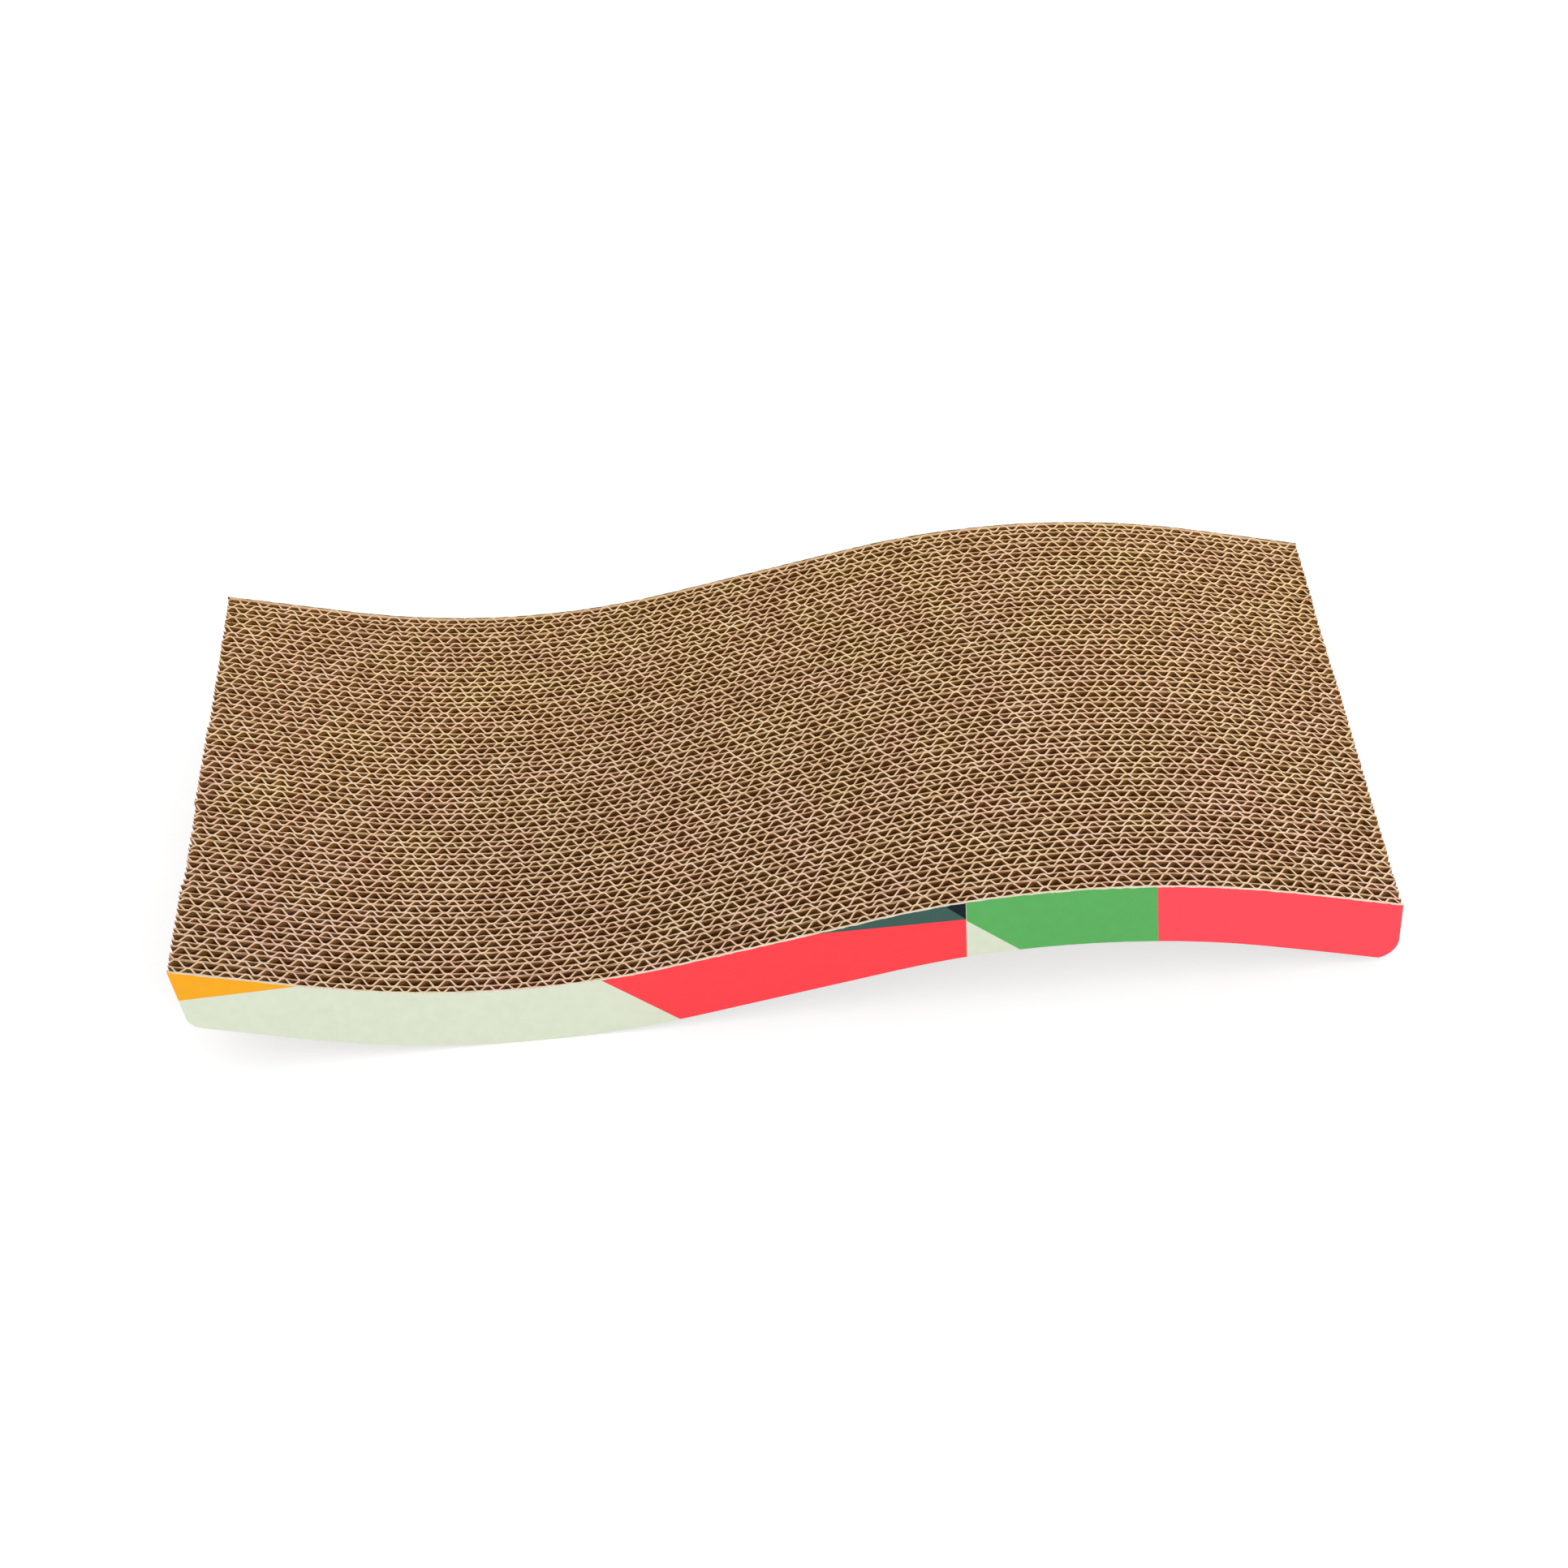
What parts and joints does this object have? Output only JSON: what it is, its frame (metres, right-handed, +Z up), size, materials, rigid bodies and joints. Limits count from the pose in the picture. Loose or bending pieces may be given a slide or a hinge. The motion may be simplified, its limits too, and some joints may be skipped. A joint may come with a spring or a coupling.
{
  "type": "cardboard cat scratcher",
  "caption": "Low wavy slab of upright corrugated board strips glued side by side, with a printed sheet on each long side, for a cat to scratch and lie on.",
  "frame": {"origin": "centre of the footprint, on the surface that the slab lies on: the underside of its dip and its lower right edge touch it", "axes": "+X along the slab, from the raised end beside the dip to the low end beyond the crest, +Y towards the back side, +Z up"},
  "size_m": [0.4392, 0.2284, 0.0502],
  "materials": {
    "board": "matte",
    "print": "satin"
  },
  "bodies": {
    "root": {"front_printed_side": "print", "back_printed_side": "print", "board_strip_01": "board", "board_strip_02": "board", "board_strip_03": "board", "board_strip_04": "board", "board_strip_05": "board", "board_strip_06": "board", "board_strip_07": "board", "board_strip_08": "board", "board_strip_09": "board", "board_strip_10": "board", "board_strip_11": "board", "board_strip_12": "board", "board_strip_13": "board", "board_strip_14": "board", "board_strip_15": "board", "board_strip_16": "board", "board_strip_17": "board", "board_strip_18": "board", "board_strip_19": "board", "board_strip_20": "board", "board_strip_21": "board", "board_strip_22": "board", "board_strip_23": "board", "board_strip_24": "board", "board_strip_25": "board", "board_strip_26": "board", "board_strip_27": "board", "board_strip_28": "board", "board_strip_29": "board", "board_strip_30": "board", "board_strip_31": "board", "board_strip_32": "board", "board_strip_33": "board", "board_strip_34": "board"}
  },
  "joints": []
}
